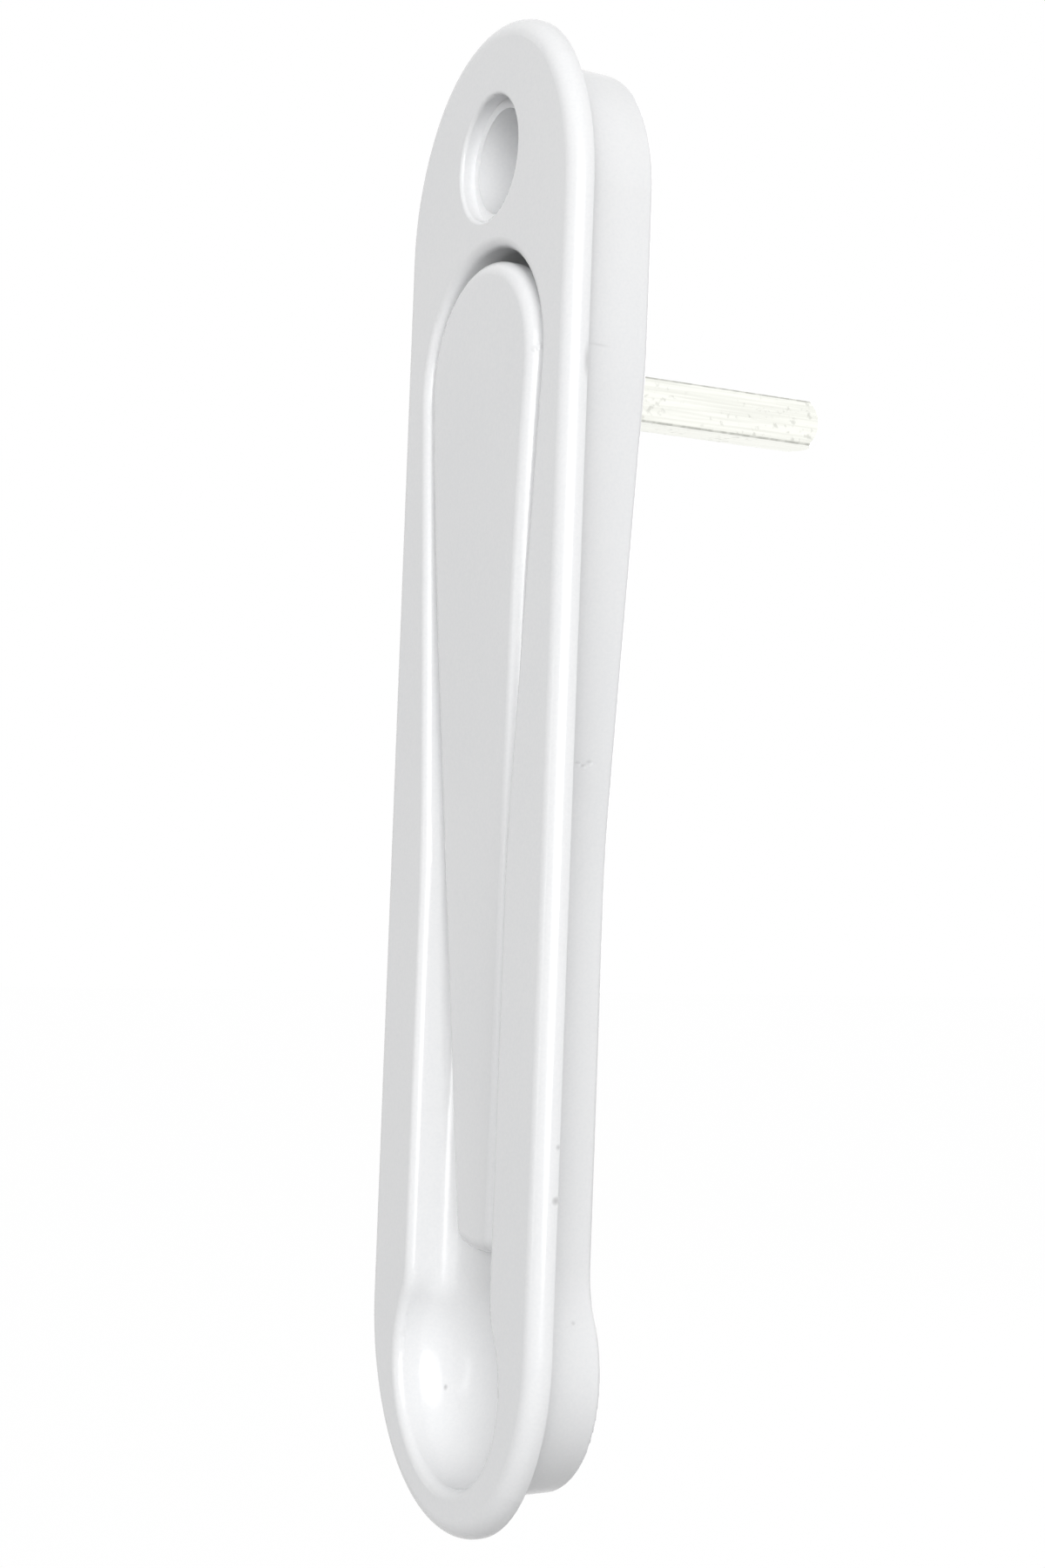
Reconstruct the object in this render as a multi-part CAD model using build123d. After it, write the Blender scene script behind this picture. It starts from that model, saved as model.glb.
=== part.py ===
from build123d import *
import math
import os

os.makedirs("parts", exist_ok=True)

# Frame: X across, Y into the sash, Z up. The origin is at the plate's middle, on its back face.

# Face plate
plate_length = 190.0
plate_width = 46.6
plate_thickness = 2.7
plate_rim_radius = 2.3
shoulder_flare = 4.7
nose_tuck = 1.3

# Places along the plate, measured from its ends
head_from_top = 45.0
bowl_from_foot = 20.0
waist_below_head = 59.7
hole_above_head = 27.7
head_z = plate_length / 2 - head_from_top
bowl_z = bowl_from_foot - plate_length / 2
waist_z = head_z - waist_below_head
upper_hole_z = head_z + hole_above_head

# Recess in the front: head pocket, channel and finger bowl, measured at the channel's floor
channel_head_radius = 15.6
channel_half_width = 10.8
channel_floor_y = 3.5
channel_corner_radius = 2.4
recess_draft = 4.0
waist_blend = 120.0
pocket_step = 0.2
pocket_radius = channel_head_radius + pocket_step
pocket_floor_y = 8.6
bowl_radius = 14.1
bowl_floor_y = 7.6
bowl_corner_radius = 6.5
bowl_dish_radius = 20.0
bowl_roll_radius = 8.0
recess_edge_radius = 1.3
seat_edge_radius = 0.5
shell_wall = 2.0

# Rear tub, the skirt that drops into the sash cut-out
tub_depth = 10.6
tub_wall = 1.8
tub_draft = 1.0
tub_back_radius = 0.6
tub_top_margin = 4.9
tub_foot_margin = 4.6
tub_bowl_blend = 12.0
pin_grip = 3.4
waist_wall = 2.4
bowl_wall = 2.4
tub_head_half_width = pocket_radius + pin_grip
tub_waist_half_width = channel_half_width + waist_wall
tub_bowl_radius = bowl_radius + bowl_wall
tub_top_z = plate_length / 2 - tub_top_margin
tub_bowl_z = tub_foot_margin + tub_bowl_radius - plate_length / 2

# Fixing points: the capped screw hole above the lever and the tapped boss behind the channel
cap_seat_radius = 7.9
cap_seat_depth = 2.0
screw_pocket_radius = 6.65
screw_pocket_floor = 2.2
boss_wall = 1.9
screw_hole_radius = 2.6
tapped_boss_radius = 4.4
tapped_hole_radius = 2.1
tapped_hole_depth = 5.0

# Ribs and boss behind the channel floor, at shares of the way from the head to the bowl
rib_thickness = 1.6
rib_gap_to_rim = 1.5
rib_shares = (0.256, 0.464, 0.816)
tapped_boss_share = 0.672
channel_run = head_z - bowl_z
rib_heights = [head_z - share * channel_run for share in rib_shares]
tapped_boss_z = head_z - tapped_boss_share * channel_run

# Lever
lever_head_gap = 1.25
lever_head_radius = channel_head_radius - lever_head_gap
lever_tip_above_bowl = 14.8
lever_tip_z = bowl_z + lever_tip_above_bowl
lever_tip_half_width = 5.2
lever_tip_bulge = 0.8
lever_tip_corner = 2.2
lever_proud = 0.3
lever_straight_rise = 2.8
lever_bend_drop = 35.2
lever_slope = 0.039
lever_edge_radius = 1.8
lever_head_thickness = 3.1
lever_back_y = 2.9
lever_step_drop = 18.0
lever_wall = 1.7
lever_hollow_drop = 22.0
lever_tip_solid = 9.0
lever_rib_thickness = 1.5
lever_rib_length = 28.0
lever_straight_z = head_z + lever_straight_rise
lever_bend_z = head_z - lever_bend_drop
lever_step_z = head_z - lever_step_drop
lever_hollow_top_z = head_z - lever_hollow_drop

# Pivot
pivot_below_head = 0.7
pivot_z = head_z - pivot_below_head
pivot_y = 3.4
pin_radius = 1.5
pin_clearance = 0.05
pin_blind_depth = 2.2
pin_recess = 0.2
pin_end_chamfer = 0.3
pad_radius = 2.9
pad_height = 1.5
ear_radius = 4.2
ear_thickness = 2.2
hub_radius = 4.8
hub_half_width = 5.2
washer_radius = 2.8
washer_thickness = 0.9
side_play = 0.15

# Drive bar
bar_size = 6.0
bar_edge_radius = 0.3
bar_tip_y = 48.0
bar_dome_radius = 4.7
bar_fit = 0.02
travel_deg = 25.0
slot_side_gap = 0.7
slot_end_gap = 0.5
slot_corner_radius = 1.5

# Return spring
wire_radius = 0.4
coil_radius = 2.6
coil_turns = 3
coil_gap = 0.1
coil_pitch = 2 * wire_radius + coil_gap
coil_end_gap = 0.3
leg_length = 8.0

# Depths and widths that follow from the sizes above
front_y = -plate_thickness
lever_front_y = front_y - lever_proud
lever_head_back_y = lever_front_y + lever_head_thickness
pad_face_x = pocket_radius - pad_height
washer_out_x = pad_face_x - side_play
ear_out_x = washer_out_x - washer_thickness - side_play
ear_in_x = ear_out_x - ear_thickness

# Overshoot of cutting solids, and the width of a search for edges on a plane
clear = 1.0
hair = 0.01


def slab(outline, y_front, y_back, draft=0.0):
    """Turns an outline drawn in X and Z into a solid between two depths, wider towards the front."""
    back_plane = Plane.XZ.offset(-y_back)
    return extrude(back_plane * outline, amount=y_back - y_front, taper=-draft)


def cross_shaft(radius, x_start, x_end):
    """A round bar along X on the pivot line."""
    start = Plane(origin=(x_start, pivot_y, pivot_z), z_dir=(1, 0, 0))
    return extrude(start * Circle(radius), amount=x_end - x_start)


def deep_round(radius, z, y_front, y_back):
    """A round bar along Y, for bosses and screw holes."""
    return slab(Pos(0, z) * Circle(radius), y_front, y_back)


def end_arcs(half, radius, nose, end_z):
    """One rounded end of the plate: a wide shoulder arc at each side and a tighter nose between."""
    nose_z = end_z - nose
    side_x = radius - half
    side_z = nose_z - math.sqrt((radius - nose) ** 2 - side_x ** 2)
    lean = math.atan2(nose_z - side_z, side_x)
    middle = (radius * math.cos(lean / 2) - side_x, side_z + radius * math.sin(lean / 2))
    meet = (nose * math.cos(lean), nose_z + nose * math.sin(lean))
    return [(half, side_z), middle, meet, (0, end_z)]


def plate_outline():
    half = plate_width / 2
    points = end_arcs(half, half + shoulder_flare, half - nose_tuck, plate_length / 2)
    edges = []
    for turn in (1, -1):
        side, middle, meet, end = [(x, turn * z) for x, z in points]
        edges.append(ThreePointArc(side, middle, meet))
        edges.append(ThreePointArc(meet, end, (-meet[0], meet[1])))
        edges.append(ThreePointArc((-meet[0], meet[1]), (-middle[0], middle[1]), (-side[0], side[1])))
    side_z = points[0][1]
    edges.append(Line((half, side_z), (half, -side_z)))
    edges.append(Line((-half, side_z), (-half, -side_z)))
    return make_face(edges)


def round_corners(outline, z, radius):
    """Rounds the outline's corners that lie at one height."""
    corners = [v for v in outline.vertices() if abs(v.Y - z) < hair]
    return fillet(corners, radius)


def paddle(head_radius, centre_z, lean, right_side, foot_middle=None):
    """An outline with a round head, mirrored sides and a straight or round foot."""
    shoulder = (head_radius * math.cos(lean), centre_z - head_radius * math.sin(lean))
    right = [shoulder] + right_side
    left = [(-x, z) for x, z in right]
    head = ThreePointArc(left[0], (0, centre_z + head_radius), right[0])
    if foot_middle is None:
        foot = Line(right[-1], left[-1])
    else:
        foot = ThreePointArc(right[-1], foot_middle, left[-1])
    sides = [Line(p, q) for side in (right, left) for p, q in zip(side, side[1:])]
    return make_face([head, foot] + sides)


def tangent_lean(radius, centre_z, end):
    """The slope at which a side leaves a round head to reach a point below it."""
    drop = centre_z - end[1]
    return math.asin(radius / math.hypot(end[0], drop)) - math.atan2(end[0], drop)


def tub_outline():
    half = tub_head_half_width
    waist = tub_waist_half_width
    neck_z = tub_bowl_z + math.sqrt(tub_bowl_radius ** 2 - waist ** 2)
    side = [(half, head_z), (waist, waist_z), (waist, neck_z)]
    outline = paddle(half, tub_top_z - half, 0.0, side, (0, tub_bowl_z - tub_bowl_radius))
    outline = round_corners(outline, waist_z, waist_blend)
    outline = round_corners(outline, head_z, waist_blend / 2)
    return round_corners(outline, neck_z, tub_bowl_blend)


def channel_outline(grow=0.0):
    """The recess seen from the front, without the finger bowl."""
    head = channel_head_radius + grow
    waist = (channel_half_width + grow, waist_z)
    lean = tangent_lean(head, head_z, waist)
    outline = paddle(head, head_z, lean, [waist, (waist[0], bowl_z)])
    return round_corners(outline, waist_z, waist_blend)


def bowl_solid(grow=0.0):
    """The finger bowl: a straight rim, a round corner and a dished floor, turned about its axis."""
    wall = bowl_radius + grow
    floor_y = bowl_floor_y + grow
    dish = bowl_dish_radius + grow
    corner = bowl_corner_radius + grow
    dish_y = floor_y - dish
    corner_x = wall - corner
    corner_y = dish_y + math.sqrt((dish - corner) ** 2 - corner_x ** 2)
    lean = math.atan2(corner_x, corner_y - dish_y)
    meet = (dish * math.sin(lean), dish_y + dish * math.cos(lean))
    half_lean = (lean + math.pi / 2) / 2
    corner_mid = (corner_x + corner * math.sin(half_lean), corner_y + corner * math.cos(half_lean))
    dish_mid = (dish * math.sin(lean / 2), dish_y + dish * math.cos(lean / 2))
    mouth_y = front_y - clear
    profile = make_face([
        Line((0, mouth_y), (wall, mouth_y)),
        Line((wall, mouth_y), (wall, corner_y)),
        ThreePointArc((wall, corner_y), corner_mid, meet),
        ThreePointArc(meet, dish_mid, (0, floor_y)),
        Line((0, floor_y), (0, mouth_y)),
    ])
    return Pos(0, 0, bowl_z) * revolve(profile, Axis.Y)


def channel_solid():
    """The channel under the lever, with round corners along its floor."""
    solid = slab(channel_outline(), front_y - clear, channel_floor_y, recess_draft)
    floor = solid.faces().sort_by(Axis.Y)[-1]
    foot_z = floor.edges().sort_by(Axis.Z)[0].center().Z
    edges = [e for e in floor.edges() if e.center().Z > foot_z + hair]
    return fillet(edges, channel_corner_radius)


def is_on_seam(edge):
    """True for the edges where the channel runs into the finger bowl."""
    middle = edge @ 0.5
    spread = (channel_floor_y - front_y + clear) * math.tan(math.radians(recess_draft))
    across = abs(middle.X) < channel_half_width + spread
    deep = front_y - clear + hair < middle.Y < channel_floor_y + hair
    return across and deep and bowl_z < middle.Z < bowl_z + bowl_radius


def recess():
    """All that is hollow in the front: the channel rolls over into the bowl, the pocket is deeper."""
    form = channel_solid() + bowl_solid()
    form = fillet([e for e in form.edges() if is_on_seam(e)], bowl_roll_radius)
    return form + deep_round(pocket_radius, head_z, front_y - clear, pocket_floor_y)


def recess_shell():
    """The metal round the recess, before the recess is cut."""
    channel = slab(channel_outline(shell_wall), 0, channel_floor_y + shell_wall)
    pocket = deep_round(pocket_radius + shell_wall, head_z, 0, tub_depth)
    return channel + bowl_solid(shell_wall) + pocket


def face_plate():
    plate = slab(plate_outline(), front_y, 0)
    rim = plate.faces().sort_by(Axis.Y)[0].edges()
    return fillet(rim, plate_rim_radius)


def skirt():
    """The tub's outer wall, open at the back."""
    outline = tub_outline()
    outside = slab(outline, 0, tub_depth, tub_draft)
    outside = fillet(outside.faces().sort_by(Axis.Y)[-1].edges(), tub_back_radius)
    inside = slab(offset(outline, -tub_wall), 0, tub_depth + clear)
    return outside, inside


def ribs():
    height = tub_depth - rib_gap_to_rim
    rib = Pos(0, height / 2, 0) * Box(2 * tub_waist_half_width, height, rib_thickness)
    return [Pos(0, 0, z) * rib for z in rib_heights]


def bosses():
    upper = deep_round(screw_pocket_radius + boss_wall, upper_hole_z, 0, tub_depth)
    seat = deep_round(cap_seat_radius + boss_wall, upper_hole_z, 0, cap_seat_depth)
    return upper + seat + deep_round(tapped_boss_radius, tapped_boss_z, 0, tub_depth)


def fixing_holes():
    """The capped screw hole above the lever, and the blind tapped hole in the rear boss."""
    holes = deep_round(cap_seat_radius, upper_hole_z, front_y - clear, front_y + cap_seat_depth)
    holes += deep_round(screw_pocket_radius, upper_hole_z, front_y, tub_depth - screw_pocket_floor)
    holes += deep_round(screw_hole_radius, upper_hole_z, front_y, tub_depth + clear)
    tapped_end_y = tub_depth - tapped_hole_depth
    return holes + deep_round(tapped_hole_radius, tapped_boss_z, tapped_end_y, tub_depth + clear)


def bar_slot():
    """The slot in the pocket floor that the drive bar swings down through."""
    angle = math.radians(travel_deg)
    reach = tub_depth - pivot_y
    low = reach * math.tan(angle) + bar_size / 2 / math.cos(angle) + slot_end_gap
    high = bar_size / 2 + slot_end_gap
    width = bar_size + 2 * slot_side_gap
    outline = Pos(0, pivot_z + (high - low) / 2) * RectangleRounded(width, high + low, slot_corner_radius)
    return slab(outline, pocket_floor_y - clear, tub_depth + clear)


def pivot_pads():
    """Raised rings inside the pocket that centre the lever on its pin."""
    outer_x = pocket_radius + tub_wall / 2
    right = cross_shaft(pad_radius, pad_face_x, outer_x)
    return right + mirror(right, Plane.YZ)


def opening_edges(body):
    """The edge of the recess and of the cap seat on the plate's front face."""
    flats = body.faces().filter_by(GeomType.PLANE)
    front = flats.filter_by_position(Axis.Y, front_y - hair, front_y + hair)
    wires = front.sort_by(SortBy.AREA)[-1].inner_wires()
    wires = sorted(wires, key=lambda wire: wire.length)
    return wires[0].edges(), wires[-1].edges()


def make_body():
    """The one-piece casting: face plate, tub, recess, bosses and ribs."""
    outside, inside = skirt()
    body = outside - inside
    body += recess_shell() & outside
    body += face_plate()
    for rib in ribs():
        body += rib & outside
    body += bosses() & outside
    body -= recess()
    body += pivot_pads()
    body -= fixing_holes()
    body -= bar_slot()
    blind_end = tub_head_half_width - pin_blind_depth
    body -= cross_shaft(pin_radius, -tub_head_half_width - clear, blind_end)
    body = fillet(opening_edges(body)[1], recess_edge_radius)
    return fillet(opening_edges(body)[0], seat_edge_radius)


def lever_front(shift):
    """The lever's front line seen from the side: flat, gentle bend, straight. Shift moves it back."""
    y = lever_front_y + shift
    bend_y = y + (lever_straight_z - lever_bend_z) * lever_slope / 2
    tip_y = bend_y + (lever_bend_z - lever_tip_z + clear) * lever_slope
    top = Line((y, head_z + lever_head_radius + clear), (y, lever_straight_z))
    bend = TangentArc((y, lever_straight_z), (bend_y, lever_bend_z), tangent=(0, -1))
    tail = Line((bend_y, lever_bend_z), (tip_y, lever_tip_z - clear))
    return [top, bend, tail]


def side_solid(edges):
    """Closes a side view with straight lines in order and makes it as wide as the lever."""
    face = make_face(edges)
    return extrude(Plane.YZ * face, amount=lever_head_radius + clear, both=True)


def lever_blank():
    """The lever's outer form: plan outline and side view together."""
    corner = (lever_tip_half_width, lever_tip_z + lever_tip_bulge)
    lean = tangent_lean(lever_head_radius, head_z, corner)
    plan = paddle(lever_head_radius, head_z, lean, [corner], (0, lever_tip_z))
    plan = round_corners(plan, corner[1], lever_tip_corner)
    front = lever_front(0.0)
    top, foot = front[0] @ 0, front[-1] @ 1
    back = Polyline(
        (foot.X, foot.Y),
        (lever_back_y, foot.Y),
        (lever_back_y, lever_step_z),
        (lever_head_back_y, lever_step_z + lever_back_y - lever_head_back_y),
        (lever_head_back_y, top.Y),
        (top.X, top.Y),
    )
    side = side_solid(front + back.edges())
    return plan, slab(plan, front_y - clear, lever_back_y + clear) & side


def lever_hollow(plan):
    """The pocket cast into the lever's underside, which leaves an even wall behind the front."""
    front = lever_front(lever_wall)
    top, foot = front[0] @ 0, front[-1] @ 1
    deep = lever_back_y + clear
    back = Polyline((foot.X, foot.Y), (deep, foot.Y), (deep, top.Y), (top.X, top.Y))
    low = lever_tip_z + lever_tip_solid
    window = Pos(0, (low + lever_hollow_top_z) / 2) * Rectangle(2 * lever_head_radius, lever_hollow_top_z - low)
    inner = slab(offset(plan, -lever_wall) & window, front_y - clear, deep)
    return inner & side_solid(front + back.edges())


def front_rim(lever):
    """The edges that run round the lever's front."""
    edges = [edge for face in lever.faces() if faces_front(face) for edge in face.edges()]
    return [edge for edge in edges if sum(edge.is_same(other) for other in edges) == 1]


def faces_front(face):
    normal = face.normal_at()
    return -normal.Y > max(abs(normal.X), abs(normal.Z))


def hinge_block(radius, x_start, x_end):
    """A knuckle round the pin, joined to the back of the lever's head."""
    height = pivot_y - lever_head_back_y
    middle = Pos((x_start + x_end) / 2, lever_head_back_y + height / 2, pivot_z)
    return cross_shaft(radius, x_start, x_end) + middle * Box(x_end - x_start, height, 2 * radius)


def stiffening_rib():
    """A thin rib left standing along the middle of the lever's hollow, near the head."""
    middle = Pos(0, (lever_front_y + lever_back_y) / 2, lever_hollow_top_z)
    return middle * Box(lever_rib_thickness, lever_back_y - lever_front_y, 2 * lever_rib_length)


def make_lever():
    """The one-piece casting: paddle, hub for the bar and two ears for the pin."""
    plan, lever = lever_blank()
    lever = fillet(front_rim(lever), lever_edge_radius)
    lever -= lever_hollow(plan) - stiffening_rib()
    lever += hinge_block(hub_radius, -hub_half_width, hub_half_width)
    ear = hinge_block(ear_radius, ear_in_x, ear_out_x)
    lever += ear
    lever += mirror(ear, Plane.YZ)
    socket = bar_size + 2 * bar_fit
    hub_back_y = pivot_y + hub_radius
    lever -= slab(Pos(0, pivot_z) * Rectangle(socket, socket), lever_head_back_y, hub_back_y + clear)
    return lever - cross_shaft(pin_radius + pin_clearance, -ear_out_x - clear, ear_out_x + clear)


def make_drive_bar():
    """Square drawn bar with a turned, domed end, seated in the lever and crossed by the pin."""
    section = Pos(0, pivot_z) * RectangleRounded(bar_size, bar_size, bar_edge_radius)
    bar = slab(section, lever_head_back_y, bar_tip_y)
    dome_y = bar_tip_y - bar_dome_radius
    envelope = slab(Pos(0, pivot_z) * Rectangle(2 * bar_size, 2 * bar_size), lever_head_back_y, dome_y)
    bar &= envelope + Pos(0, dome_y, pivot_z) * Sphere(bar_dome_radius)
    return bar - cross_shaft(pin_radius + pin_clearance, -bar_size, bar_size)


def make_pivot_pin():
    pin = cross_shaft(pin_radius, pin_recess - tub_head_half_width, tub_head_half_width - pin_blind_depth)
    return chamfer(pin.edges().filter_by(GeomType.CIRCLE), pin_end_chamfer)


def make_washer():
    """The right-hand spacer between the lever's ear and the casting."""
    inner_x = washer_out_x - washer_thickness
    bore = cross_shaft(pin_radius + pin_clearance, inner_x - clear, washer_out_x + clear)
    return cross_shaft(washer_radius, inner_x, washer_out_x) - bore


def leg_angle(depth):
    """The slope of a leg that leaves the coil and reaches a depth from the pivot at its end."""
    return math.asin(depth / math.hypot(coil_radius, leg_length)) - math.atan2(coil_radius, leg_length)


def make_return_spring():
    """A torsion spring on the pin: one leg bears on the lever's head, one on the pocket floor."""
    front_leg = leg_angle(pivot_y - lever_head_back_y - wire_radius)
    back_leg = leg_angle(pocket_floor_y - wire_radius - pivot_y)
    start = math.pi + front_leg
    turns = coil_turns + (math.pi - back_leg - front_leg) / (2 * math.pi)
    coil_x = hub_half_width + coil_end_gap + wire_radius
    frame = Plane(
        origin=(coil_x, pivot_y, pivot_z),
        x_dir=(0, math.cos(start), math.sin(start)),
        z_dir=(1, 0, 0),
    )
    coil = frame * Helix(pitch=coil_pitch, height=coil_pitch * turns, radius=coil_radius)
    first = Line(coil @ 0 - (coil % 0) * leg_length, coil @ 0)
    last = Line(coil @ 1, coil @ 1 + (coil % 1) * leg_length)
    path = Wire([first, coil, last])
    section = Plane(origin=path @ 0, z_dir=path % 0) * Circle(wire_radius)
    return sweep(section, path=path)


washer = make_washer()
pieces = {
    "body": make_body(),
    "lever": make_lever(),
    "drive_bar": make_drive_bar(),
    "pivot_pin": make_pivot_pin(),
    "washer_right": washer,
    "washer_left": mirror(washer, Plane.YZ),
    "return_spring": make_return_spring(),
}
for name, piece in pieces.items():
    piece.label = name
    export_step(piece, f"parts/{name}.step")
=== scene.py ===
import math

import bpy
from mathutils import Matrix, Vector


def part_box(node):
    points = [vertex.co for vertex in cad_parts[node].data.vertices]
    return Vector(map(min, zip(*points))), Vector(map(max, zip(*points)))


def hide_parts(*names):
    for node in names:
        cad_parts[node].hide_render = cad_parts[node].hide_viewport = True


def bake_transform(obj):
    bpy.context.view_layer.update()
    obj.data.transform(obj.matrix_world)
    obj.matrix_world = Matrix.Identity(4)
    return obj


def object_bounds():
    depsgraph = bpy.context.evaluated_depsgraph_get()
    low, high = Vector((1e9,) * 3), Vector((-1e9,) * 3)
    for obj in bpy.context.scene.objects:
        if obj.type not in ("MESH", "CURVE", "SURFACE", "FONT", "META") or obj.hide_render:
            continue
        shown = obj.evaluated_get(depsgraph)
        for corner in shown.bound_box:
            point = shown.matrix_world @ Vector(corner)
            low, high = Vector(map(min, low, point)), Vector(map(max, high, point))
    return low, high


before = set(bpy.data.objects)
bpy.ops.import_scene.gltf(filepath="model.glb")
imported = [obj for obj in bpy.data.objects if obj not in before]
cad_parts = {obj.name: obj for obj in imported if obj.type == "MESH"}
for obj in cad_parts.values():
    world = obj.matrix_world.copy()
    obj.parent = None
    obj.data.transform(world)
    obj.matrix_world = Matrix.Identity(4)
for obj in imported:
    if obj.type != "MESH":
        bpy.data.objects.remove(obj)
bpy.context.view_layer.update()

MM = 0.001

# Camera: a pinhole fitted to the plate's outline in the photograph
CAMERA_AZIMUTH = math.radians(62.58)
CAMERA_ELEVATION = math.radians(-2.25)
CAMERA_ROLL = math.radians(2.10)
CAMERA_PLACE = (0.26082, -0.12986, -0.01291)
CAMERA_LENS_MM = 53.11
CAMERA_NEAREST = 10 * MM
SENSOR_MM = 36.0

# Lamps, all at one distance: a large soft key above the camera, a level fill, a faint strip, one behind
LAMP_DISTANCE = 1.1
KEY_DIRECTION = (0.815, -0.525, 0.23)
KEY_SIZE = 1.1
KEY_POWER = 6.3
FILL_DIRECTION = (0.91, -0.41, 0.02)
FILL_SIZE = 0.6
FILL_POWER = 3.4
STRIP_DIRECTION = (-0.154, -0.97, -0.153)
STRIP_SIZE = (0.08, 0.6)
STRIP_POWER = 0.4
BACK_DIRECTION = (-0.45, 0.85, 0.30)
BACK_SIZE = 0.9
BACK_POWER = 6.0

# White room: its light at the level and overhead, and its brightness where it is seen
ROOM_LEVEL_LIGHT = 0.87
ROOM_TOP_LIGHT = 0.30
ROOM_SEEN = 1.0

# Floor: its drop below the handle, its own grey, and the white that is seen in its place
FLOOR_DROP = 0.16
FLOOR_SIZE = 8.0
FLOOR_GREY = 0.14
FLOOR_ROUGHNESS = 0.9
FLOOR_SEEN = 0.94
FLOOR_WHITE = 1.05

# Colours, linear
WHITE = (1.0, 1.0, 1.0, 1.0)
PAINT_LOW = (0.815, 0.822, 0.832, 1.0)
PAINT_HIGH = (0.850, 0.853, 0.858, 1.0)
PAINT_EDGE = (0.700, 0.706, 0.716, 1.0)
# Grey of the paint marks, also used as painted shade for the notch in the plate's rear edge
PAINT_MARK_AND_SHADE = (0.480, 0.480, 0.485, 1.0)
BAR_LOW = (0.890, 0.895, 0.835, 1.0)
BAR_HIGH = (0.965, 0.970, 0.915, 1.0)
BAR_PIT = (0.560, 0.565, 0.520, 1.0)
BAR_EDGE = (0.520, 0.525, 0.485, 1.0)
PIN_LOW = (0.50, 0.50, 0.49, 1.0)
PIN_HIGH = (0.64, 0.64, 0.62, 1.0)
WIRE_LOW = (0.30, 0.30, 0.30, 1.0)
WIRE_HIGH = (0.50, 0.50, 0.49, 1.0)
NYLON_LOW = (0.74, 0.72, 0.65, 1.0)
NYLON_HIGH = (0.82, 0.81, 0.75, 1.0)

# Roughness, from the smoothest to the dullest places
PAINT_ROUGHNESS = (0.10, 0.17)
BAR_ROUGHNESS = (0.29, 0.42)
PIN_ROUGHNESS = (0.29, 0.41)
WIRE_ROUGHNESS = (0.30, 0.42)
NYLON_ROUGHNESS = (0.42, 0.55)

# Noise values that count as its lowest and highest
NOISE_MIDDLE = (0.3, 0.7)

# Edge wear: the rounding that finds an edge, and the cosines between which a place counts as one
EDGE_RADIUS_MM = 0.5
EDGE_COSINES = (0.72, 0.94)
EDGE_SAMPLES = 4
EDGE_WEAR = (0.15, 0.4)

# The bar's darker edges: the band's start and full strength, measured in from the bar's faces
BAR_EDGE_START = 0.34 * MM
BAR_EDGE_FULL = 0.18 * MM

# Grain drawn out along the bar and along the pin
ALONG_BAR_FINE = (1.0, 0.02, 1.0)
ALONG_BAR_BROAD = (1.0, 0.06, 1.0)
ALONG_PIN = (0.1, 1.0, 1.0)
EVEN = (1.0, 1.0, 1.0)

# Marks in the paint that the photograph shows, and painted shade for a notch in the plate's rear edge:
# centre and radius in mm, flattening, share of grey
BODY_MARKS_AND_SHADE = (
    ((14.9, 7.3, -66.7), 0.42, EVEN, 0.45),
    ((-11.3, 3.3, -79.6), 0.40, (1.0, 1.0, 0.7), 0.8),
    ((23.3, -0.2, -50.7), 0.7, EVEN, 0.7),
    ((23.3, -0.2, -44.4), 0.5, EVEN, 0.6),
    # painted shade: a long grey mark that stands in for the shade of the notch in the plate's rear edge
    ((23.3, -0.1, 48.0), 2.8, (1.0, 4.5, 1.0), 0.6),
    ((19.3, 3.6, 51.1), 2.2, (1.0, 1.0, 7.0), 0.22),
)

# Dents in the body and drips on the lever: centre and radius in mm, flattening, depth in mm
BODY_DENTS = (
    ((14.35, 5.5, 0.8), 0.6, (1.0, 1.0, 1.4), 0.10),
    ((14.30, 6.3, 0.5), 0.6, (1.0, 1.0, 1.4), 0.12),
    ((14.35, 7.1, 1.0), 0.6, (1.0, 1.0, 1.4), 0.10),
    ((23.3, -0.2, -50.7), 0.7, EVEN, 0.15),
)
LEVER_DRIPS = (
    ((13.9, -2.3, 50.8), 0.5, EVEN, -0.10),
    ((14.2, -1.7, 51.2), 0.4, (1.0, 1.0, 0.6), -0.10),
)


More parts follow.
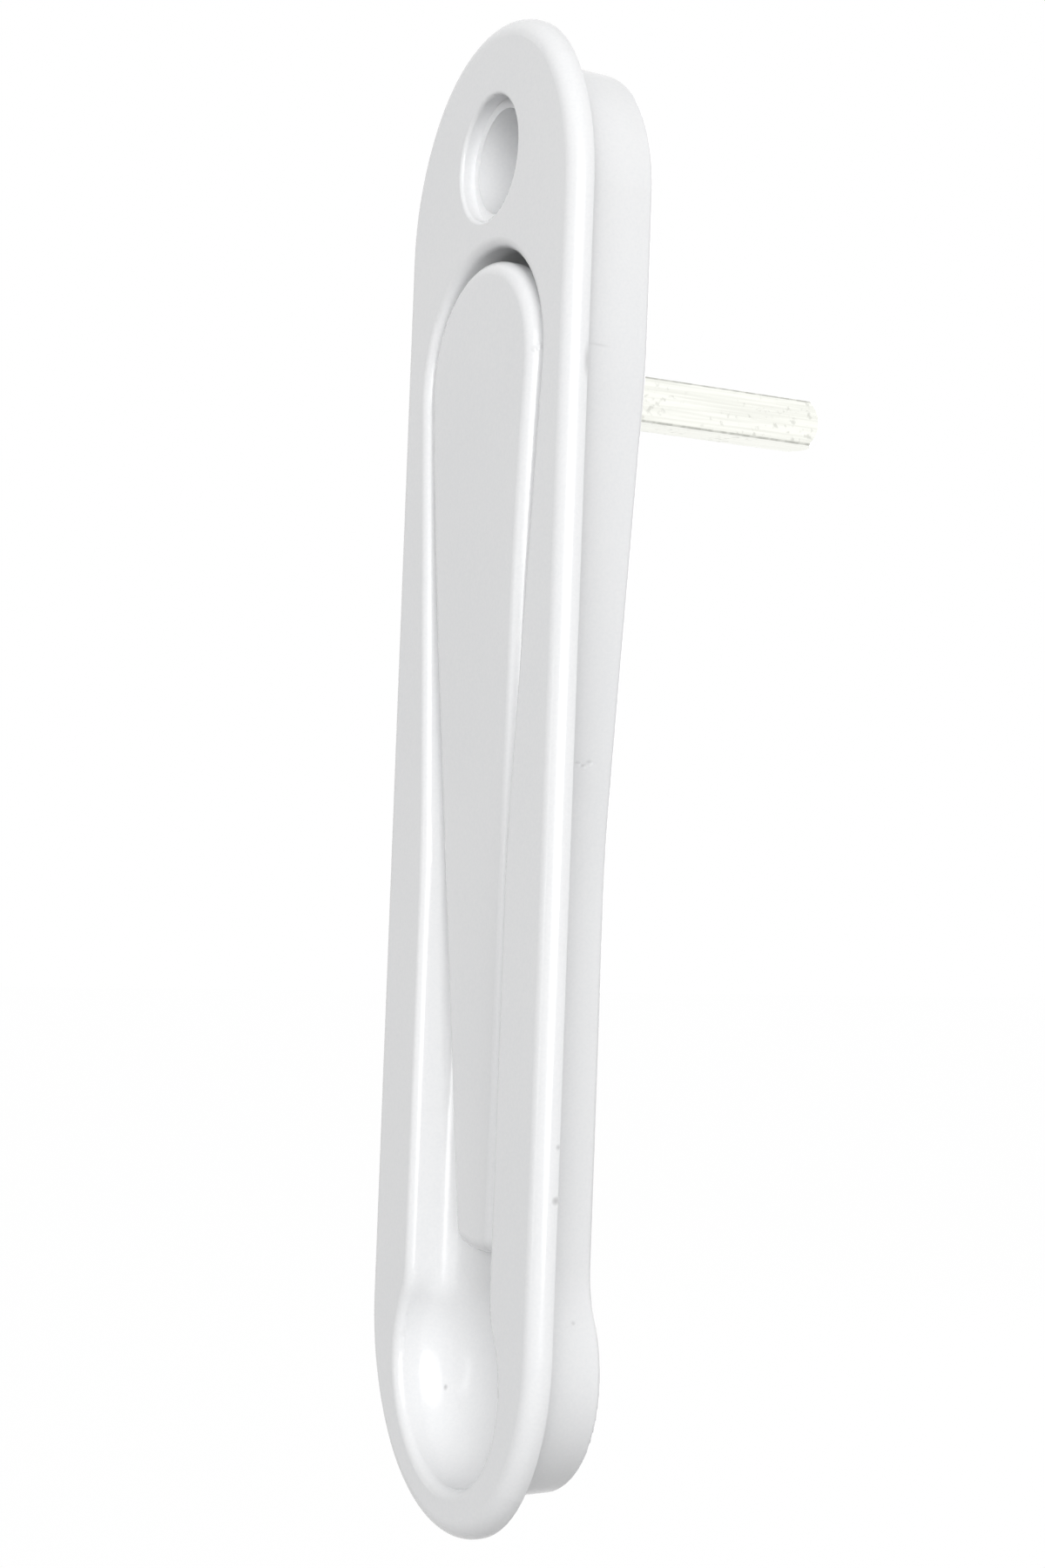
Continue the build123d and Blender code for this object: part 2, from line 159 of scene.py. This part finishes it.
class Shader:
    """Short names for building one material's nodes."""

    def __init__(self, name):
        self.material = bpy.data.materials.new(name)
        self.material.use_nodes = True
        self.nodes = self.material.node_tree.nodes
        self.links = self.material.node_tree.links
        self.surface = self.nodes["Principled BSDF"]
        self.place = self.nodes.new("ShaderNodeTexCoord").outputs["Object"]

    def set(self, socket, value):
        self.surface.inputs[socket].default_value = value

    def feed(self, source, socket):
        self.links.new(source, self.surface.inputs[socket])

    def stretch(self, scale):
        """Object coordinates scaled by axis, for grain that runs one way."""
        node = self.nodes.new("ShaderNodeMapping")
        node.inputs["Scale"].default_value = scale
        self.links.new(self.place, node.inputs["Vector"])
        return node.outputs["Vector"]

    def noise(self, size_mm, detail=2.0, place=None):
        """Soft noise whose patches are about size_mm across."""
        node = self.nodes.new("ShaderNodeTexNoise")
        node.inputs["Scale"].default_value = 1.0 / (size_mm * MM)
        node.inputs["Detail"].default_value = detail
        self.links.new(place or self.place, node.inputs["Vector"])
        return node.outputs["Fac"]

    def specks(self, spacing_mm, radius):
        """Scattered round specks: 1 at a speck's middle, 0 between them."""
        node = self.nodes.new("ShaderNodeTexVoronoi")
        node.inputs["Scale"].default_value = 1.0 / (spacing_mm * MM)
        self.links.new(self.place, node.inputs["Vector"])
        return self.ramp(node.outputs["Distance"], 0.0, radius, 1.0, 0.0)

    def ramp(self, value, low, high, to_low=0.0, to_high=1.0):
        """Eases a value from one range to another and holds it at the ends."""
        node = self.nodes.new("ShaderNodeMapRange")
        node.interpolation_type = "SMOOTHSTEP"
        node.inputs["From Min"].default_value = low
        node.inputs["From Max"].default_value = high
        node.inputs["To Min"].default_value = to_low
        node.inputs["To Max"].default_value = to_high
        self.links.new(value, node.inputs["Value"])
        return node.outputs["Result"]

    def spread(self, value, to_low=0.0, to_high=1.0):
        """Draws a noise value out to the whole of a range."""
        return self.ramp(value, *NOISE_MIDDLE, to_low, to_high)

    def calculate(self, operation, *values):
        """One sum of plain numbers or sockets."""
        node = self.nodes.new("ShaderNodeMath")
        node.operation = operation
        for socket, value in zip(node.inputs, values):
            if isinstance(value, (int, float)):
                socket.default_value = value
            else:
                self.links.new(value, socket)
        return node.outputs["Value"]

    def weigh(self, first, second, share):
        """Two sockets added up, the first by its share and the second by the rest."""
        first = self.calculate("MULTIPLY", first, share)
        second = self.calculate("MULTIPLY", second, 1.0 - share)
        return self.calculate("ADD", first, second)

    def mix(self, share, first, second):
        """Blends two colours, each a colour or a socket."""
        node = self.nodes.new("ShaderNodeMix")
        node.data_type = "RGBA"
        share_socket, first_socket, second_socket = node.inputs[0], node.inputs[6], node.inputs[7]
        self.links.new(share, share_socket)
        for socket, value in ((first_socket, first), (second_socket, second)):
            if isinstance(value, tuple):
                socket.default_value = value
            else:
                self.links.new(value, socket)
        return node.outputs[2]

    def vector(self, operation, first, second=None):
        """One sum of a vector socket with a plain vector or another socket."""
        node = self.nodes.new("ShaderNodeVectorMath")
        node.operation = operation
        self.links.new(first, node.inputs[0])
        if isinstance(second, (tuple, list)):
            node.inputs[1].default_value = second
        elif second:
            self.links.new(second, node.inputs[1])
        return node.outputs

    def spot(self, centre_mm, radius_mm, flat):
        """A soft-edged mark at one point; flat squeezes it along an axis."""
        centre = [value * MM for value in centre_mm]
        shifted = self.vector("SUBTRACT", self.place, centre)["Vector"]
        squeezed = self.vector("MULTIPLY", shifted, flat)["Vector"]
        distance = self.vector("LENGTH", squeezed)["Value"]
        return self.ramp(distance, 0.0, radius_mm * MM, 1.0, 0.0)

    def edges(self):
        """1 along sharp edges and 0 on flats, from the angle between true and rounded normals."""
        bevel = self.nodes.new("ShaderNodeBevel")
        bevel.samples = EDGE_SAMPLES
        bevel.inputs["Radius"].default_value = EDGE_RADIUS_MM * MM
        true = self.nodes.new("ShaderNodeNewGeometry")
        cosine = self.vector("DOT_PRODUCT", bevel.outputs["Normal"], true.outputs["Normal"])["Value"]
        return self.ramp(cosine, *EDGE_COSINES, 1.0, 0.0)

    def bumps(self, *layers):
        """Stacks bump layers, each a height socket with its depth in mm and strength."""
        normal = None
        for height, depth_mm, strength in layers:
            node = self.nodes.new("ShaderNodeBump")
            node.inputs["Strength"].default_value = strength
            node.inputs["Distance"].default_value = depth_mm * MM
            self.links.new(height, node.inputs["Height"])
            if normal:
                self.links.new(normal, node.inputs["Normal"])
            normal = node.outputs["Normal"]
        self.feed(normal, "Normal")


def add_camera():
    """Aims the camera by azimuth, elevation and roll, as the photograph was taken."""
    back = Vector((
        math.sin(CAMERA_AZIMUTH) * math.cos(CAMERA_ELEVATION),
        -math.cos(CAMERA_AZIMUTH) * math.cos(CAMERA_ELEVATION),
        math.sin(CAMERA_ELEVATION),
    ))
    level = Vector((math.cos(CAMERA_AZIMUTH), math.sin(CAMERA_AZIMUTH), 0.0))
    upright = back.cross(level)
    right = math.cos(CAMERA_ROLL) * level + math.sin(CAMERA_ROLL) * upright
    up = back.cross(right)
    data = bpy.data.cameras.new("camera")
    data.sensor_fit = "VERTICAL"
    data.sensor_height = SENSOR_MM
    data.lens = CAMERA_LENS_MM
    data.clip_start = CAMERA_NEAREST
    camera = bpy.data.objects.new("camera", data)
    turn = Matrix((right, up, back)).transposed()
    camera.matrix_world = Matrix.Translation(CAMERA_PLACE) @ turn.to_4x4()
    bpy.context.scene.collection.objects.link(camera)
    bpy.context.scene.camera = camera


def add_lamp(name, direction, size, power):
    """A soft lamp turned to the handle's middle: a disk, or an upright strip for two sizes."""
    data = bpy.data.lights.new(name, "AREA")
    if isinstance(size, tuple):
        data.shape = "RECTANGLE"
        data.size, data.size_y = size
    else:
        data.shape = "DISK"
        data.size = size
    data.energy = power
    lamp = bpy.data.objects.new(name, data)
    direction = Vector(direction).normalized()
    lamp.location = direction * LAMP_DISTANCE
    lamp.rotation_euler = direction.to_track_quat("Z", "Y").to_euler()
    bpy.context.scene.collection.objects.link(lamp)


def seen_directly(nodes, links):
    """1 for rays that show the backdrop itself or its reflection, 0 for rays that light things."""
    path = nodes.new("ShaderNodeLightPath")
    seen = path.outputs["Is Camera Ray"]
    for kind in ("Is Glossy Ray", "Is Transmission Ray"):
        either = nodes.new("ShaderNodeMath")
        either.operation = "MAXIMUM"
        links.new(seen, either.inputs[0])
        links.new(path.outputs[kind], either.inputs[1])
        seen = either.outputs["Value"]
    return seen


def add_world():
    """A white room that lights the handle more from the level than from above."""
    world = bpy.data.worlds.new("studio")
    world.use_nodes = True
    nodes, links = world.node_tree.nodes, world.node_tree.links
    background = nodes["Background"]
    background.inputs["Color"].default_value = WHITE
    place = nodes.new("ShaderNodeTexCoord")
    height = nodes.new("ShaderNodeSeparateXYZ")
    links.new(place.outputs["Generated"], height.inputs["Vector"])
    light = nodes.new("ShaderNodeMapRange")
    light.inputs["To Min"].default_value = ROOM_LEVEL_LIGHT
    light.inputs["To Max"].default_value = ROOM_TOP_LIGHT
    links.new(height.outputs["Z"], light.inputs["Value"])
    level = nodes.new("ShaderNodeMapRange")
    level.inputs["To Max"].default_value = ROOM_SEEN
    links.new(seen_directly(nodes, links), level.inputs["Value"])
    links.new(light.outputs["Result"], level.inputs["To Min"])
    links.new(level.outputs["Result"], background.inputs["Strength"])
    bpy.context.scene.world = world


def floor_material():
    """Matt pale floor that shows as white and still takes a soft shadow; its glow is no lamp."""
    material = bpy.data.materials.new("floor_white")
    material.cycles.emission_sampling = "NONE"
    material.use_nodes = True
    nodes, links = material.node_tree.nodes, material.node_tree.links
    surface = nodes["Principled BSDF"]
    surface.inputs["Base Color"].default_value = (FLOOR_GREY, FLOOR_GREY, FLOOR_GREY, 1.0)
    surface.inputs["Roughness"].default_value = FLOOR_ROUGHNESS
    glow = nodes.new("ShaderNodeEmission")
    glow.inputs["Strength"].default_value = FLOOR_WHITE
    share = nodes.new("ShaderNodeMath")
    share.operation = "MULTIPLY"
    share.inputs[1].default_value = FLOOR_SEEN
    links.new(seen_directly(nodes, links), share.inputs[0])
    blend = nodes.new("ShaderNodeMixShader")
    links.new(share.outputs["Value"], blend.inputs[0])
    links.new(surface.outputs["BSDF"], blend.inputs[1])
    links.new(glow.outputs["Emission"], blend.inputs[2])
    links.new(blend.outputs["Shader"], nodes["Material Output"].inputs["Surface"])
    return material


def add_floor():
    """A plain pale floor well below the handle, which hangs free as in the photograph."""
    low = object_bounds()[0][2] - FLOOR_DROP
    half = FLOOR_SIZE / 2
    mesh = bpy.data.meshes.new("floor")
    corners = [(-half, -half, low), (half, -half, low), (half, half, low), (-half, half, low)]
    mesh.from_pydata(corners, [], [(0, 1, 2, 3)])
    floor = bpy.data.objects.new("floor", mesh)
    bpy.context.scene.collection.objects.link(floor)
    mesh.materials.append(floor_material())


def paint_colour(shader, marks_and_shade):
    """White that changes slowly over the casting and finely at close range, thinner at edges."""
    tone = shader.spread(shader.weigh(shader.noise(30, 3.0), shader.noise(0.4, 1.0), 0.5))
    colour = shader.mix(tone, PAINT_LOW, PAINT_HIGH)
    wear = shader.spread(shader.noise(4), *EDGE_WEAR)
    colour = shader.mix(shader.calculate("MULTIPLY", shader.edges(), wear), colour, PAINT_EDGE)
    # Grey marks; one of them is painted shade for the notch in the plate's rear edge
    for centre, radius, flat, strength in marks_and_shade:
        mask = shader.calculate("MULTIPLY", shader.spot(centre, radius, flat), strength)
        colour = shader.mix(mask, colour, PAINT_MARK_AND_SHADE)
    return colour


def paint_relief(shader, dents):
    """Orange peel, a slow unevenness and a few dust nibs, with the dents cut in."""
    layers = [
        (shader.noise(1.3, 1.0), 0.02, 0.35),
        (shader.noise(14, 2.0), 0.10, 0.30),
        (shader.specks(16, 0.016), 0.03, 0.6),
    ]
    for centre, radius, flat, depth in dents:
        layers.append((shader.spot(centre, radius, flat), -depth, 1.0))
    return layers


def paint_material(name, marks_and_shade, dents):
    """Stoved gloss white over a casting."""
    shader = Shader(name)
    shader.feed(paint_colour(shader, marks_and_shade), "Base Color")
    shader.feed(shader.spread(shader.noise(9, 3.0), *PAINT_ROUGHNESS), "Roughness")
    shader.bumps(*paint_relief(shader, dents))
    return shader.material


def bar_edge_mask(shader):
    """1 on the bar's four long edges, where both cross distances are near the bar's half size."""
    low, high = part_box("drive_bar")
    half = (high[0] - low[0]) / 2
    middle_z = (high[2] + low[2]) / 2
    axes = shader.nodes.new("ShaderNodeSeparateXYZ")
    shader.links.new(shader.place, axes.inputs["Vector"])
    across = shader.calculate("ABSOLUTE", axes.outputs["X"])
    upright = shader.calculate("ABSOLUTE", shader.calculate("SUBTRACT", axes.outputs["Z"], middle_z))
    nearest = shader.calculate("MINIMUM", across, upright)
    return shader.ramp(nearest, half - BAR_EDGE_START, half - BAR_EDGE_FULL)


def bar_colour(shader, lines):
    """Bright metal with drawn lines, soft cloudy pits in patches, and darker bands along its four long
    edges.
    """
    broad = shader.noise(1.1, 2.0, shader.stretch(ALONG_BAR_BROAD))
    grain = shader.weigh(lines, broad, 0.7)
    colour = shader.mix(shader.ramp(grain, 0.35, 0.6), BAR_LOW, BAR_HIGH)
    patch = shader.ramp(shader.noise(7, 1.0), 0.45, 0.62)
    cloud = shader.ramp(shader.noise(0.9, 3.0), 0.56, 0.72, 0.0, 0.5)
    colour = shader.mix(shader.calculate("MULTIPLY", patch, cloud), colour, BAR_PIT)
    # The bar is coloured darker along its four long edges, more in some places than in others
    edge_variation = shader.ramp(shader.noise(1.5, 2.0), 0.35, 0.6, 0.6, 1.0)
    edge = shader.calculate("MULTIPLY", bar_edge_mask(shader), edge_variation)
    return shader.mix(edge, colour, BAR_EDGE)


def bar_material():
    """Bright plated drawn steel."""
    shader = Shader("plated_bar")
    lines = shader.noise(0.28, 2.0, shader.stretch(ALONG_BAR_FINE))
    shader.feed(bar_colour(shader, lines), "Base Color")
    shader.set("Metallic", 1.0)
    shader.feed(shader.spread(lines, *BAR_ROUGHNESS), "Roughness")
    shader.bumps((lines, 0.012, 0.5), (shader.noise(0.7, 3.0), 0.02, 0.3))
    return shader.material


def steel_material(name, low, high, grain_scale, roughness):
    """Plain ground or drawn steel with a fine grain."""
    shader = Shader(name)
    grain = shader.noise(0.3, 3.0, shader.stretch(grain_scale))
    shader.feed(shader.mix(shader.ramp(grain, 0.35, 0.65), low, high), "Base Color")
    shader.set("Metallic", 1.0)
    shader.feed(shader.spread(grain, *roughness), "Roughness")
    shader.bumps((grain, 0.008, 0.5))
    return shader.material


def nylon_material():
    """Natural nylon, milky and faintly mottled, with moulding grain."""
    shader = Shader("nylon")
    tone = shader.spread(shader.noise(1.2, 3.0))
    shader.feed(shader.mix(tone, NYLON_LOW, NYLON_HIGH), "Base Color")
    shader.feed(shader.ramp(tone, 0.0, 1.0, *NYLON_ROUGHNESS), "Roughness")
    shader.set("Subsurface Weight", 0.15)
    shader.set("Subsurface Scale", 1.0 * MM)
    shader.bumps((shader.noise(0.25, 2.0), 0.01, 0.4))
    return shader.material


def dress(material, *names):
    """Gives CAD nodes their material."""
    for name in names:
        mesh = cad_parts[name].data
        mesh.materials.clear()
        mesh.materials.append(material)


def add_winding_spring():
    """The return spring again as its own object, its mesh copied and fixed in place, with the original
    hidden.
    """
    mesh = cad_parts["return_spring"].data.copy()
    spring = bpy.data.objects.new("wound_spring", mesh)
    bpy.context.scene.collection.objects.link(spring)
    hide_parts("return_spring")
    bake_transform(spring)


bpy.context.scene.view_settings.view_transform = "Standard"
add_camera()
add_lamp("key", KEY_DIRECTION, KEY_SIZE, KEY_POWER)
add_lamp("fill", FILL_DIRECTION, FILL_SIZE, FILL_POWER)
add_lamp("strip", STRIP_DIRECTION, STRIP_SIZE, STRIP_POWER)
add_lamp("back", BACK_DIRECTION, BACK_SIZE, BACK_POWER)
add_world()
add_floor()
dress(paint_material("body_paint", BODY_MARKS_AND_SHADE, BODY_DENTS), "body")
dress(paint_material("lever_paint", (), LEVER_DRIPS), "lever")
dress(bar_material(), "drive_bar")
dress(steel_material("ground_pin", PIN_LOW, PIN_HIGH, ALONG_PIN, PIN_ROUGHNESS), "pivot_pin")
dress(steel_material("spring_wire", WIRE_LOW, WIRE_HIGH, EVEN, WIRE_ROUGHNESS), "return_spring")
add_winding_spring()
dress(nylon_material(), "washer_left", "washer_right")
